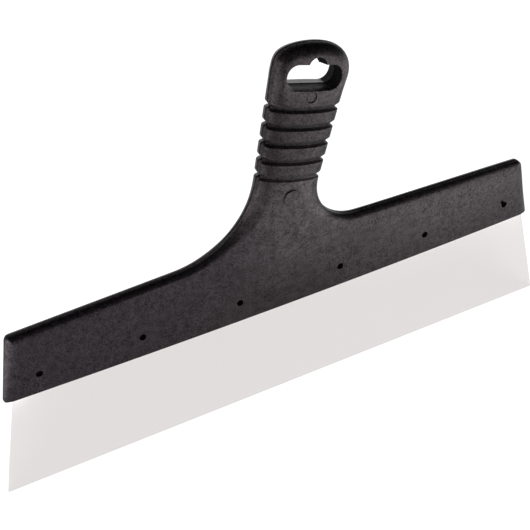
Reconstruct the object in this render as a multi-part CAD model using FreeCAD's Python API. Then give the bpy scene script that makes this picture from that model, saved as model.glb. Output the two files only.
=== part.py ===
"""Wide floor scraper: a stainless blade moulded into a one-piece polypropylene handle.

Units are millimetres. The origin is the middle of the scraping edge, +X runs along
the blade, +Y through its thickness and +Z up towards the hanging hole. The handle
leans towards +X. Front (-Y) and back (+Y) are alike.
"""
import FreeCAD, Part
import math
import os

from FreeCAD import Vector

# ---- driving dimensions -------------------------------------------------------

# blade
edge_length = 350.0
blade_thickness = 0.8
blade_side_slope = 0.226         # each side draws in by this much per mm of height
blade_top = 96.0                 # top of the tang, hidden inside the holder
tang_corner = 4.0
edge_corner = 0.6

# locating holes: the mould's pins hold the blade here, so they run right through
locating_hole_diameter = 3.8
locating_hole_height = 76.3
locating_hole_inner = 31.3       # from the middle to the first hole
locating_hole_pitch = 56.6
locating_holes_per_side = 3

# anchor holes: the plastic runs through the tang here and locks it
anchor_diameter = 9.0
anchor_height = 86.0
anchor_pitch = 59.6
anchors_per_side = 2

# holder: the bar that grips the blade
holder_bottom = 63.3
holder_bottom_half_length = 164.5
holder_side_slope = 0.212
holder_top_half_length = 155.5
holder_end_top = 102.6           # top edge at the ends
holder_top_rise = 0.0334         # the top edge climbs this much per mm towards the middle
end_half_thickness = 2.75        # at the bottom edge
end_top_half_thickness = 3.7     # and at the top edge
middle_half_thickness = 5.35     # at the bottom edge, in the middle
core_half_thickness = 5.9        # where the handle grows out of the top edge
core_top_half_thickness = 5.3    # the top edge itself, under the handle
core_reach = 62.0                # where the thick core has faded out
face_crown = 0.25                # the faces bulge out by this much
top_rounding = 3.1
bottom_rounding = 0.9
end_cap_length = 4.2             # the ends are rounded over this length
end_cap_inset = 3.36             # and draw in by this much at the top and the bottom
end_cap_thinning = 0.93          # the share of the thickness lost at the tip
end_cap_sections = 6
holder_spans = 10
holder_shift = -0.8              # the moulding sits a little off the blade's middle

# handle axis
lean = math.radians(15.0)
axis_height = 132.7              # where the axis crosses X = 0
grip_start = 12.8                # lowest groove, measured along the axis
groove_pitch = 9.65
grooves = 5
grip_half_width = 18.2           # at the lowest groove, over the rings
grip_taper = 0.0518              # the half width grows this much per mm
ring_half_thickness = 8.0
groove_side_depth = 2.0
groove_face_depth = 1.3
groove_bevel = 2.1               # the long bevel under each ring
groove_shoulder = 1.2            # the short bevel on top of the next one
groove_floor = 0.35
lowest_groove_depth = 1.04       # in the front and the back face
ring_edge = 0.5                  # the length over which a ring's upper edge is eased
ring_edge_width = 0.15
ring_edge_depth = 0.1
bevel_end_ease = 0.4             # the bevel runs out into the ring over this length
bevel_crown = 0.25               # the last share of the bevel is flatter
bevel_crown_width = 0.22
bevel_crown_depth = 0.15
section_power = 2.6              # roundness of the cross-sections

# flares between the handle and the holder
left_flare_radius = 52.0
right_flare_radius = 25.2
left_flare_used = 0.84           # the lowest groove cuts the flares short
right_flare_used = 0.92
neck_half_thickness = 7.5
neck_sections = 14
root_left = (-46.0, 78.0)        # the neck's root, buried in the holder
root_right = (34.0, 78.0)
root_half_thickness = 3.6

# head
head_top = 85.6
head_full_width_end = 69.0
head_half_width = 21.7
head_lower_half_thickness = 7.9
head_upper_half_thickness = 5.9
head_top_rounding = 6.5
head_corner_power = 0.76         # under 1 makes the shoulders of the head squarer
head_section_power = 3.0
head_shift = 0.3                 # the head sits a little to the right of the axis

# hanging hole
hole_half_width = 15.6
hole_bottom = 62.2
hole_top = 75.3
hole_corner = 5.9
notch_radius = 5.1
notch_offset = 0.7
notch_centre = 74.1
hole_draft = 1.0                 # the hole is this much tighter at the parting plane
cutter_reach = 10.0              # cutting tools stand out this far from the middle plane

# ejector marks
upper_mark_radius = 2.95
upper_mark_along = 58.9
upper_mark_across = -0.5
lower_mark_radius = 4.2
lower_mark_along = 2.1
lower_mark_across = 1.3
lower_mark_surface = 7.05        # half thickness of the neck under the lower mark
mark_depth = 0.3

quarter_points = 8               # spans in a quarter of a section


# ---- frames and outlines ------------------------------------------------------

def on_handle(along, across, depth=0.0):
    """A point in the leaning handle's own frame."""
    x = across * math.cos(lean) + along * math.sin(lean)
    z = axis_height + along * math.cos(lean) - across * math.sin(lean)
    return Vector(x, depth, z)


def in_plane(x, z):
    return Vector(x, 0.0, z)


def grip_width(along):
    return grip_half_width + grip_taper * (along - grip_start)


def holder_top(x):
    return holder_end_top + holder_top_rise * (holder_top_half_length - abs(x))


def corner_arc(first, corner, last, radius):
    """Centre of the fillet at a corner, and the two unit radii that bound it."""
    to_first = (first - corner).normalize()
    to_last = (last - corner).normalize()
    half = 0.5 * to_first.getAngle(to_last)
    middle = (to_first + to_last).normalize()
    centre = corner + middle * (radius / math.sin(half))
    reach = radius / math.tan(half)
    start = (corner + to_first * reach - centre).normalize()
    end = (corner + to_last * reach - centre).normalize()
    return centre, start, end


def arc_point(arc, radius, share):
    """The point at a share of the way round a fillet."""
    centre, start, end = arc
    turn = start.getAngle(end)
    one = math.sin((1.0 - share) * turn) / math.sin(turn)
    two = math.sin(share * turn) / math.sin(turn)
    return centre + (start * one + end * two) * radius


def flare(side):
    """Fillet between the holder's top edge and one side of the handle: side is -1 or 1."""
    grip_low = on_handle(0.0, side * grip_width(0.0))
    grip_high = on_handle(grip_start, side * grip_width(grip_start))
    wing_far = in_plane(side * holder_top_half_length, holder_end_top)
    wing_near = in_plane(0.0, holder_top(0.0))
    along = (grip_high - grip_low).normalize()
    run = (wing_far - wing_near).normalize()
    gap = wing_near - grip_low
    cross = along.x * run.z - along.z * run.x
    step = (gap.x * run.z - gap.z * run.x) / cross
    corner = grip_low + along * step
    radius = left_flare_radius if side < 0 else right_flare_radius
    return corner_arc(wing_far, corner, grip_high, radius), radius


def lens_point(middle, half, half_thickness, power, angle):
    c = math.cos(angle)
    d = math.sin(angle)
    across = math.copysign(abs(c) ** (2.0 / power), c)
    depth = math.copysign(abs(d) ** (2.0 / power), d)
    return middle + half * across + Vector(0.0, depth * half_thickness, 0.0)


def lens_wire(left, right, half_thickness, power=section_power):
    """A closed rounded section that spans two points in the middle plane."""
    middle = (left + right) * 0.5
    half = (right - left) * 0.5
    ends = [middle + half, middle + Vector(0, half_thickness, 0)]
    ends += [middle - half, middle - Vector(0, half_thickness, 0)]
    edges = []
    for quarter in range(4):
        points = [ends[quarter]]
        for step in range(1, quarter_points):
            angle = 0.5 * math.pi * (quarter + step / quarter_points)
            points.append(lens_point(middle, half, half_thickness, power, angle))
        points.append(ends[(quarter + 1) % 4])
        curve = Part.BSplineCurve()
        curve.interpolate(points)
        edges.append(curve.toShape())
    return Part.Wire(edges)


def handle_section(along, half_width, half_thickness, power=section_power):
    left = on_handle(along, -half_width)
    right = on_handle(along, half_width)
    return lens_wire(left, right, half_thickness, power)


# ---- the blade ------------------------------------------------------------------

def locating_places():
    places = []
    for index in range(locating_holes_per_side):
        x = locating_hole_inner + index * locating_hole_pitch
        places.append(-x)
        places.append(x)
    return sorted(places)


def cross_pin(x, z, diameter):
    """A cylinder along Y, right through the scraper."""
    start = Vector(x, -cutter_reach, z)
    return Part.makeCylinder(0.5 * diameter, 2.0 * cutter_reach, start, Vector(0, 1, 0))


def edges_through(shape, low, high):
    """The edges that run through the sheet between two heights."""
    found = []
    for edge in shape.Edges:
        through = abs(edge.tangentAt(edge.FirstParameter).y) > 0.99
        if through and low <= edge.CenterOfMass.z <= high:
            found.append(edge)
    return found


def blade_sheet():
    bottom = 0.5 * edge_length
    top = bottom - blade_side_slope * blade_top
    back = -0.5 * blade_thickness
    corners = [Vector(-bottom, back, 0), Vector(bottom, back, 0)]
    corners += [Vector(top, back, blade_top), Vector(-top, back, blade_top)]
    face = Part.Face(Part.makePolygon(corners + corners[:1]))
    sheet = face.extrude(Vector(0, blade_thickness, 0))
    sheet = sheet.makeFillet(tang_corner, edges_through(sheet, 0.5 * blade_top, blade_top + 1.0))
    return sheet.makeFillet(edge_corner, edges_through(sheet, -1.0, 0.1))


def tang():
    """The blade without its locating holes: what the plastic flows around."""
    solid = blade_sheet()
    for index in range(-anchors_per_side, anchors_per_side + 1):
        solid = solid.cut(cross_pin(index * anchor_pitch, anchor_height, anchor_diameter))
    return solid


def blade():
    solid = tang()
    for x in locating_places():
        solid = solid.cut(cross_pin(x, locating_hole_height, locating_hole_diameter))
    return solid


# ---- the holder -----------------------------------------------------------------

def bottom_half_thickness(share):
    return end_half_thickness + (middle_half_thickness - end_half_thickness) * (1.0 - share ** 2)


def top_half_thickness(x):
    if abs(x) >= core_reach:
        return end_top_half_thickness
    fade = 0.5 + 0.5 * math.cos(math.pi * abs(x) / core_reach)
    return end_top_half_thickness + (core_top_half_thickness - end_top_half_thickness) * fade


def holder_x(share, z):
    half = holder_bottom_half_length - holder_side_slope * (z - holder_bottom)
    return share * half + holder_shift


def rounded_edge(share, face_y, edge_z, radius, side, up):
    """An arc between one face of the holder and its top or bottom edge."""
    points = []
    for degrees in (0, 45, 90):
        turn = math.radians(degrees)
        y = face_y - radius * (1.0 - math.cos(turn))
        z = edge_z - up * radius * (1.0 - math.sin(turn))
        points.append(Vector(holder_x(share, z), side * y, z))
    return Part.Arc(*points).toShape(), points[0], points[2]


def holder_section(share, inset=0.0, squeeze=1.0):
    """A closed section across the holder; share runs from -1 to 1 along it."""
    x_top = holder_x(share, holder_end_top)
    low = holder_bottom + inset
    high = holder_top(x_top) - inset
    wide_low = bottom_half_thickness(share) * squeeze
    wide_high = top_half_thickness(x_top) * squeeze
    middle_z = 0.5 * (low + high)
    middle_y = 0.5 * (wide_low + wide_high) + face_crown * squeeze
    edges = []
    bottoms = []
    tops = []
    for side in (1.0, -1.0):
        lower, face_low, bottom = rounded_edge(share, wide_low, low, bottom_rounding * squeeze, side, -1.0)
        upper, face_high, top = rounded_edge(share, wide_high, high, top_rounding * squeeze, side, 1.0)
        crown = Vector(holder_x(share, middle_z), side * middle_y, middle_z)
        edges += [lower, Part.Arc(face_low, crown, face_high).toShape(), upper]
        bottoms.append(bottom)
        tops.append(top)
    edges.append(Part.makeLine(*bottoms))
    edges.append(Part.makeLine(*tops))
    return Part.Wire(Part.__sortEdges__(edges))


def end_cap(side):
    """One rounded end of the holder."""
    cap_share = end_cap_length / holder_bottom_half_length
    sections = []
    for step in range(end_cap_sections):
        part_way = math.sin(math.radians(82.0 * step / (end_cap_sections - 1)))
        drop = 1.0 - math.sqrt(1.0 - part_way ** 2)
        share = side * (1.0 - cap_share + cap_share * part_way)
        sections.append(holder_section(share, end_cap_inset * drop, 1.0 - end_cap_thinning * drop))
    return Part.makeLoft(sections, True, True)


def holder():
    last = 1.0 - end_cap_length / holder_bottom_half_length
    shares = [index / (0.5 * holder_spans) - 1.0 for index in range(1, holder_spans)]
    shares = [-last] + shares + [last]
    solid = Part.makeLoft([holder_section(share) for share in shares], True, False)
    return solid.fuse([end_cap(-1.0), end_cap(1.0)])


# ---- neck, grip and head ----------------------------------------------------------

def neck():
    """From inside the holder up to the lowest groove, with a flare on each side."""
    left_arc, left_radius = flare(-1.0)
    right_arc, right_radius = flare(1.0)
    sections = [lens_wire(in_plane(*root_left), in_plane(*root_right), root_half_thickness)]
    for step in range(1, neck_sections + 1):
        way = step / neck_sections
        left = arc_point(left_arc, left_radius, left_flare_used * way)
        right = arc_point(right_arc, right_radius, right_flare_used * way)
        thick = core_half_thickness + (neck_half_thickness - core_half_thickness) * way
        sections.append(lens_wire(left, right, thick))
    sections.append(handle_section(neck_top(), grip_width(neck_top()), neck_half_thickness))
    return Part.makeLoft(sections, True, True)


def neck_top():
    return grip_start - groove_shoulder


def grip():
    """The ribbed grip: rings with a short shoulder above and a long bevel below."""
    sections = [handle_section(neck_top(), grip_width(neck_top()), neck_half_thickness)]
    for index in range(grooves):
        low = grip_start + index * groove_pitch
        last = index == grooves - 1
        full = head_lower_half_thickness if last else ring_half_thickness
        deep = ring_half_thickness - groove_face_depth
        if index == 0:
            deep = neck_half_thickness - lowest_groove_depth
        for along in (low, low + groove_floor):
            sections.append(handle_section(along, grip_width(low) - groove_side_depth, deep))
        bevel_end = low + groove_floor + groove_bevel
        wide = grip_width(bevel_end)
        crown = bevel_end - bevel_crown * groove_bevel
        sections.append(handle_section(crown, wide - bevel_crown_width, full - bevel_crown_depth))
        sections.append(handle_section(bevel_end + bevel_end_ease, wide, full))
        if not last:
            top = low + groove_pitch - groove_shoulder
            wide = grip_width(top)
            sections.append(handle_section(top - ring_edge, wide, full))
            sections.append(handle_section(top, wide - ring_edge_width, full - ring_edge_depth))
    return Part.makeLoft(sections, True, True)


def head_start():
    last_groove = grip_start + (grooves - 1) * groove_pitch
    return last_groove + groove_floor + groove_bevel + bevel_end_ease


def head_section(along, half_width, half_thickness, power, shift):
    left = on_handle(along, shift - half_width)
    right = on_handle(along, shift + half_width)
    return lens_wire(left, right, half_thickness, power)


def head_half_thickness(along):
    """The head gets thinner towards the top."""
    share = (along - head_start()) / (head_top - head_start())
    return head_lower_half_thickness + (head_upper_half_thickness - head_lower_half_thickness) * share


def head():
    """The flat end of the handle, rounded over at the top."""
    start = head_start()
    low_width = grip_width(start)
    sections = [handle_section(start, grip_width(start - bevel_end_ease), head_lower_half_thickness)]
    for step in (1, 2, 3):
        part_way = step / 3.0
        along = start + (head_full_width_end - start) * part_way
        wide = low_width + (head_half_width - low_width) * part_way
        power = section_power + (head_section_power - section_power) * part_way
        thick = head_half_thickness(along)
        sections.append(head_section(along, wide, thick, power, head_shift * part_way))
    rise = head_top - head_full_width_end
    for degrees in (10, 20, 30, 39, 48, 56, 63, 69, 75, 80, 84, 87):
        turn = math.radians(degrees)
        along = head_full_width_end + rise * math.sin(turn)
        wide = head_half_width * math.cos(turn) ** head_corner_power
        thick = head_half_thickness(along)
        into = (along - (head_top - head_top_rounding)) / head_top_rounding
        if into > 0.0:
            thick *= math.sqrt(1.0 - into ** 2)
        sections.append(head_section(along, wide, thick, head_section_power, head_shift))
    return Part.makeLoft(sections, True, True)


# ---- cuts ---------------------------------------------------------------------

def slot_wire(grow, depth):
    """The hanging hole's rounded slot, larger all round by grow, at one depth."""
    low = hole_bottom - grow
    high = hole_top + grow
    wide = hole_half_width + grow
    corner = hole_corner + grow
    inset = corner * (1.0 - math.sqrt(0.5))
    arcs = []
    ends = []
    for across, up in ((1, 1), (-1, 1), (-1, -1), (1, -1)):
        level = high if up > 0 else low
        side = on_handle(level - up * corner, across * wide, depth)
        middle = on_handle(level - up * inset, across * (wide - inset), depth)
        flat = on_handle(level, across * (wide - corner), depth)
        first, last = (side, flat) if across * up > 0 else (flat, side)
        arcs.append(Part.Arc(first, middle, last).toShape())
        ends.append((first, last))
    lines = [Part.makeLine(ends[index - 1][1], ends[index][0]) for index in range(4)]
    return Part.Wire(Part.__sortEdges__(arcs + lines))


def hanging_hole():
    """The slot and its hook notch, tightest at the parting plane."""
    spread = hole_draft * cutter_reach / head_upper_half_thickness
    tight_notch = notch_radius - hole_draft
    centre = on_handle(notch_centre, notch_offset)
    halves = []
    for side in (-1.0, 1.0):
        tight = slot_wire(-hole_draft, 0.0)
        open_end = slot_wire(spread - hole_draft, side * cutter_reach)
        slot = Part.makeLoft([tight, open_end], True, True)
        outward = Vector(0, side, 0)
        cone = Part.makeCone(tight_notch, tight_notch + spread, cutter_reach, centre, outward)
        halves.append(slot.fuse(cone))
    return halves[0].fuse(halves[1])


def ejector_mark(along, across, radius, surface):
    """A shallow disc let into the front face."""
    start = on_handle(along, across, mark_depth - surface)
    return Part.makeCylinder(radius, cutter_reach, start, Vector(0, -1, 0))


def handle():
    solid = holder().fuse(neck())
    solid = solid.fuse(grip().fuse(head()))
    solid = solid.removeSplitter()
    solid = solid.cut(hanging_hole())
    solid = solid.cut(tang())
    for x in locating_places():
        solid = solid.cut(cross_pin(x, locating_hole_height, locating_hole_diameter))
    surface = head_half_thickness(upper_mark_along)
    upper = ejector_mark(upper_mark_along, upper_mark_across, upper_mark_radius, surface)
    surface = lower_mark_surface
    lower = ejector_mark(lower_mark_along, lower_mark_across, lower_mark_radius, surface)
    return solid.cut([upper, lower])


# ---- output -------------------------------------------------------------------

def single_solid(shape, name):
    """The one solid of a node, checked before it is written."""
    solids = shape.Solids
    if len(solids) != 1:
        raise RuntimeError("%s has %d solids" % (name, len(solids)))
    if not solids[0].isValid():
        raise RuntimeError("%s isn't valid" % name)
    return solids[0]


def main():
    os.makedirs("parts", exist_ok=True)
    nodes = {"blade": blade(), "handle": handle()}
    for name, shape in nodes.items():
        solid = single_solid(shape, name)
        solid.exportStep("parts/%s.step" % name)
        box = solid.BoundBox
        sizes = (box.XMin, box.XMax, box.YMin, box.YMax, box.ZMin, box.ZMax)
        print(name, "volume %.0f" % solid.Volume, "box", ["%.2f" % v for v in sizes])


main()
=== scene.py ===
"""Floor scraper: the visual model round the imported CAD, in metres.

The plastic handle is one closed mesh: a front shell, a back shell that mirrors it but for
the ejector marks and the torn rim, and the walls between them, which carry the parting
line. The blade is a thin sheet with eased edges. Lengths are millimetres until a mesh is
made, and metres in the materials, the floor and the camera.
"""

import math

import bmesh
import bpy
import numpy as np
from mathutils import Matrix, Vector
from mathutils.geometry import delaunay_2d_cdt


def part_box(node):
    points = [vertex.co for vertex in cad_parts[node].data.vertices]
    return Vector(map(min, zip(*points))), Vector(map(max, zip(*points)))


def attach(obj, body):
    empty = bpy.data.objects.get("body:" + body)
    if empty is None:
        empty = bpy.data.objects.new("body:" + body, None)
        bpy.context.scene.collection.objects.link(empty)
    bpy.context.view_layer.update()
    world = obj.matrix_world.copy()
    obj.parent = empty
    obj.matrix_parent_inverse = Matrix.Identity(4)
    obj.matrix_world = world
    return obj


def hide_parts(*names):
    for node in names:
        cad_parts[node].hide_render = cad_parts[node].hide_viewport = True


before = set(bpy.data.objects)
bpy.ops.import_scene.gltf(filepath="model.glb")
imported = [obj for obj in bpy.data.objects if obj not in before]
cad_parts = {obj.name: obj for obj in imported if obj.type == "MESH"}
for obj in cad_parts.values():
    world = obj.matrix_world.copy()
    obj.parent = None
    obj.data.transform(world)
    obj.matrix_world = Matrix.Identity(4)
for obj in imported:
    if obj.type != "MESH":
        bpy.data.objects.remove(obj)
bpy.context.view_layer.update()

MM = 0.001
handle_low, handle_high = [np.array(corner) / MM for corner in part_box("handle")]
blade_low, blade_high = [np.array(corner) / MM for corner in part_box("blade")]

# ---- dimensions, in millimetres ----

# blade
EDGE_HALF = 175.0                # half the scraping edge
BLADE_HALF_THICKNESS = float(blade_high[1])
BLADE_SLOPE = 0.226              # each side draws in by this much per mm of height
BLADE_TOP = float(blade_high[2])
TANG_CORNER = 4.0
EDGE_CORNER = 0.6
BLADE_EASE = 0.12                # the sheet's edges are rounded over this width
BLADE_CLEARANCE = 0.06           # the blade's locating holes are this much wider

# locating holes, through the holder and the blade
HOLE_RADIUS = 1.9
HOLE_HEIGHT = 76.3
HOLE_INNER = 31.3                # from the middle to the first hole
HOLE_PITCH = 56.6
HOLES_PER_SIDE = 3
PIN_RIM = (0.18, 0.16)           # width and depth of the rounding round each hole
PIN_SIDES = 28

# the torn rim of the last locating hole
TEAR_SIDEWAYS = -1.5             # from the hole's middle
TEAR_UP = 2.2
TEAR_DEPTH = 1.5
TEAR_TURN = (0.8, 0.6)           # cosine and sine of its short axis
TEAR_STRETCH = 0.5
TEAR_REACH = (0.45, 1.25)        # full depth up to the first, gone at the second
TEAR_RINGS = (0.3, 0.6, 0.9, 1.3, 1.8)

# anchor holes in the tang
ANCHOR_RADIUS = 4.5
ANCHOR_HEIGHT = 86.0
ANCHOR_PITCH = 59.6

# holder: thicknesses are half thicknesses throughout
BOTTOM = float(handle_low[2])
HOLDER_HALF = 164.5              # half length at the bottom edge
HOLDER_SLOPE = 0.212
HOLDER_SHIFT = -0.8
HOLDER_TOP_HALF = 155.5
LEFT_END_TOP = 103.8             # the top edge's height at each end
RIGHT_END_TOP = 103.2
TOP_STEP_HALF = 40.0             # one height runs into the other over this much of the middle
HOLDER_RISE = 0.0334             # the top edge climbs this much per mm towards the middle
WING_INNER = 45.0                # the top edge is straight from the end to here
END_THICK = 2.75                 # at the bottom edge
END_TOP_THICK = 3.8
MIDDLE_THICK = 5.35
CORE_REACH = 62.0                # where the thick core under the handle has faded out
CORE_THICK = 5.35
CORE_LOW = -34.0                 # along the handle: the core thickens from here to the neck's top
BLEND_LOW = -16.0                # along the handle: the flat holder turns into the round neck
FACE_CROWN = 0.25
LEFT_TOP_CORNER = 3.0
RIGHT_TOP_CORNER = 4.4
BOTTOM_CORNER = 1.6
END_ROUNDING = 5.6               # width of the roundings: at the ends, the top and the neck
TOP_ROUNDING = 4.4
NECK_ROUNDING = 7.0
END_CREASE = 0.35                # the share of the end's rounding that is a flat facet
END_GROWTH = 0.9                 # the share of the thickness that the end's rounding takes
TOP_DEPTH = 3.3
BOTTOM_ROUNDING = 0.9
ROUNDING_POWER = 1.5             # how softly two roundings meet

# handle: lengths along its axis start where the axis crosses X = 0
LEAN = math.radians(15.0)
AXIS_HEIGHT = 132.7
GRIP_START = 12.8                # the lowest groove
GROOVE_PITCH = 9.65
GROOVES = 5
GRIP_WIDTH = 18.3
GRIP_TAPER = 0.0518
RING_THICK = 8.0
GROOVE_SIDE = 2.0                # depth in the sides
GROOVE_FACE = 1.3                # depth in the front and the back
LOWEST_FACE = 0.8
BEVEL = 2.1                      # the long bevel under each ring
SHOULDER = 1.2                   # the short bevel on top of the next one
GROOVE_FLOOR = 0.35
RING_EDGE = 0.45                 # the ring's upper edge is eased over this length
CREST = 0.5                      # and so is the bevel's lower end
NECK_THICK = 7.5
NECK_TOP = GRIP_START - SHOULDER - RING_EDGE
GRIP_POWER = 5.0                 # squareness of the grip's section
GRIP_CROWN = 0.36                # the share of the thickness that its crowned faces lose
LEFT_FLARE = 52.0
RIGHT_FLARE = 25.2

# head
HEAD_START = GRIP_START + (GROOVES - 1) * GROOVE_PITCH + GROOVE_FLOOR + BEVEL + 0.4
HEAD_TOP = 85.6
HEAD_FULL = 69.0                 # the sides are straight up to here
HEAD_WIDTH = 21.9
HEAD_LOW_THICK = 7.9
HEAD_HIGH_THICK = 5.9
HEAD_ROUNDING = 6.0
HEAD_POWER = 2.1                 # roundness of that rounding
HEAD_BLEND = 14.0                # the grip's section turns into the head's over this length
HEAD_RIGHT_CORNER = (2.2, 0.42)  # bow and power of the arch on each side
HEAD_LEFT_CORNER = (4.2, 0.6)
HEAD_SHIFT = 0.3
HEAD_BOW = 0.12

# hanging hole: a slot across the head with a round notch in its upper side
SLOT_WIDTH = 15.6
SLOT_LOW = 62.2
SLOT_HIGH = 75.3
SLOT_CORNER = 5.9
NOTCH_RADIUS = 5.1
NOTCH_ACROSS = 0.7
NOTCH_ALONG = 74.1
SLOT_DRAFT = 1.0                 # the hole is this much tighter at the parting plane
SLOT_RIM = (0.32, 0.3)           # width and depth of the rounding round the hole
SLOT_SEAM = 0.16                 # height and half width of the ridge at the parting plane
SLOT_SEAM_HALF = 0.09
SLOT_ROWS = ((0.55, 0.45), (0.1, 0.9))  # rows of its wall: shares of the depth and the draft
SLOT_RIGHT = 0.3                 # walls that face right more than this get the coarse texture and its painted shade

# ejector marks: along, across and radius
UPPER_MARK = (58.7, 0.0, 2.95)
LOWER_MARK = (2.3, 1.1, 4.3)
MARK_DEPTH = 0.5                 # the upper mark is sunk
MARK_PROUD = 0.8                 # the lower one is tilted and stands proud on one side
MARK_TILT = (0.75, -0.66)        # the way that it rises, along and across
UPPER_MARK_EDGE = 0.07
LOWER_MARK_EDGE = 0.08

# parting line: a groove in the side walls
SEAM_DEPTH = 0.5
SEAM = 0.4                       # half the thickness that every edge keeps
SEAM_HALF = 0.04                 # half the width of the groove's floor
SEAM_LIP = 0.9                   # the wall's lips stand at this share of that thickness
SEAM_START = (-30.0, -10.0)      # along the handle, it fades in over this range

# mesh
FACE_STEP = 0.9                  # spacing of the points on the flat faces
FACE_GAP = 0.62                  # they keep this clear of the finer rows
MARK_SIDES = 72
BLADE_HOLE_SIDES = 32
ANCHOR_SIDES = 40
BLADE_STEP = 2.0                 # spacing of the points along the blade's straight edges
BLADE_ARC_STEP = 0.12            # and round its corners
PIN_ROWS = (-0.5, 0.5)           # depths of the rows inside the locating holes
HANDLE_SHARP = 38.0              # edges that turn more than this many degrees stay sharp
BLADE_SHARP = 50.0
HOLE_GAPS = (0.0, 0.05, 0.14, 0.3, 0.6, 1.1)
PIN_GAPS = (0.0, 0.06, 0.16, 0.45, 1.0)
MARK_GAPS = (-0.5, -0.08, 0.08, 0.5)
EDGE_GAPS = (0.05, 0.15, 0.3, 0.5, 0.75, 1.05, 1.45, 1.95, 2.6, 3.3, 4.1)


# ---- plane geometry ----

def ease(value, low, high):
    """A smooth step from 0 at low to 1 at high."""
    share = np.clip((value - low) / (high - low), 0.0, 1.0)
    return share * share * (3.0 - 2.0 * share)


def from_handle(along, across):
    """(x, z) of a point in the leaning handle's frame."""
    x = across * math.cos(LEAN) + along * math.sin(LEAN)
    z = AXIS_HEIGHT + along * math.cos(LEAN) - across * math.sin(LEAN)
    return np.stack(np.broadcast_arrays(x, z), axis=-1)


def to_handle(points):
    """(along, across) of points of the plane, in the leaning handle's frame."""
    x = points[..., 0]
    z = points[..., 1] - AXIS_HEIGHT
    along = x * math.sin(LEAN) + z * math.cos(LEAN)
    across = x * math.cos(LEAN) - z * math.sin(LEAN)
    return along, across


def grip_width(along):
    return GRIP_WIDTH + GRIP_TAPER * (along - GRIP_START)


def holder_top(x):
    """Height of the top edge; the moulding sits a little high on the left."""
    end_top = LEFT_END_TOP + (RIGHT_END_TOP - LEFT_END_TOP) * ease(x, -TOP_STEP_HALF, TOP_STEP_HALF)
    return end_top + HOLDER_RISE * (HOLDER_TOP_HALF - np.abs(x))


def unit(vector):
    return vector / np.linalg.norm(vector)


def fillet(first, corner, last, radius, spacing):
    """Points round the inside of a corner, from the side of first to the side of last."""
    one = unit(first - corner)
    two = unit(last - corner)
    half = 0.5 * math.acos(float(np.dot(one, two)))
    centre = corner + unit(one + two) * radius / math.sin(half)
    reach = radius / math.tan(half)
    start = corner + one * reach - centre
    end = corner + two * reach - centre
    turn = math.pi - 2.0 * half
    count = max(4, int(radius * turn / spacing))
    points = []
    for step in range(count + 1):
        share = step / count
        a = math.sin((1.0 - share) * turn) / math.sin(turn)
        b = math.sin(share * turn) / math.sin(turn)
        points.append(centre + start * a + end * b)
    return points


def straight(first, last, spacing):
    count = max(1, int(np.linalg.norm(last - first) / spacing))
    return [first + (last - first) * step / count for step in range(count + 1)]


def cross_point(a, a_way, b, b_way):
    """Where the line from a along a_way meets the line from b along b_way."""
    gap = b - a
    cross = a_way[0] * b_way[1] - a_way[1] * b_way[0]
    return a + a_way * (gap[0] * b_way[1] - gap[1] * b_way[0]) / cross


def end_x(side, z):
    return side * (HOLDER_HALF - HOLDER_SLOPE * (z - BOTTOM)) + HOLDER_SHIFT


def side_run(side):
    """One side of the outline, from the middle of the bottom edge up to the neck's top.

    Returns the points and the places where its runs start: the bottom edge, the bottom
    corner, the end, the top corner, the wing, the flare and the neck."""
    middle = np.array([0.0, BOTTOM])
    low = np.array([end_x(side, BOTTOM), BOTTOM])
    wing_x = side * HOLDER_TOP_HALF
    wing = np.array([wing_x, holder_top(wing_x)])
    near_x = side * WING_INNER
    wing_way = unit(np.array([near_x, holder_top(near_x)]) - wing)
    end_way = unit(np.array([end_x(side, 120.0), 120.0]) - low)
    high = cross_point(low, end_way, wing, wing_way)
    grip_low = from_handle(0.0, side * grip_width(0.0))
    grip_high = from_handle(NECK_TOP, side * grip_width(NECK_TOP))
    inner = cross_point(grip_low, unit(grip_high - grip_low), wing, wing_way)
    radius = LEFT_FLARE if side < 0 else RIGHT_FLARE
    bottom_corner = fillet(middle, low, high, BOTTOM_CORNER, 0.35)
    top_radius = LEFT_TOP_CORNER if side < 0 else RIGHT_TOP_CORNER
    top_corner = fillet(low, high, inner, top_radius, 0.4)
    # the fillet turns outwards, so it is laid from the wing to the neck
    flare = fillet(high, inner, grip_high + (grip_high - grip_low) * 2.0, radius, 0.8)
    neck_along = np.array([to_handle(point)[0] for point in flare])
    flare = [point for point, along in zip(flare, neck_along) if along < NECK_TOP - 0.3]
    runs = [straight(middle, bottom_corner[0], 0.9), bottom_corner]
    runs += [straight(bottom_corner[-1], top_corner[0], 0.8), top_corner]
    runs += [straight(top_corner[-1], flare[0], 0.9), flare]
    runs += [straight(flare[-1], grip_high, 0.8)]
    marks = np.cumsum([0] + [len(run) - 1 for run in runs])
    points = [runs[0][0]]
    for run in runs:
        points += run[1:]
    return np.array(points), marks


# ---- the leaning handle's profile ----

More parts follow.
